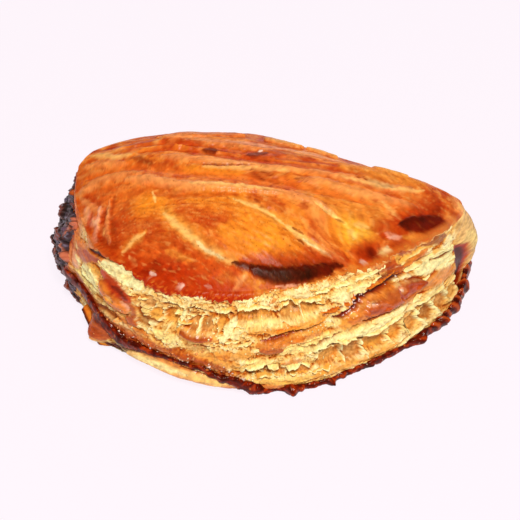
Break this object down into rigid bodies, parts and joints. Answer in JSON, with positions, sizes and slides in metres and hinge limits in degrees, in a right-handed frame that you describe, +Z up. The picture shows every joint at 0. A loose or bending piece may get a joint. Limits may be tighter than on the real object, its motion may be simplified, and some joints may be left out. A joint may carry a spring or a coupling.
{
  "type": "apple turnover",
  "caption": "Baked puff pastry folded over apple into a half-moon: glazed, scored lid, flaky open front edge, rounded fold at the back.",
  "frame": {"origin": "middle of the object's box on the plane it rests on", "axes": "+X along the half-moon from its tall left corner to its low right one, +Y from the open front edge to the fold, +Z up"},
  "size_m": [0.156, 0.0944, 0.0543],
  "materials": {
    "baked_pastry": "egg-washed and baked golden brown"
  },
  "bodies": {
    "root": {"turnover": "baked_pastry"}
  },
  "joints": []
}
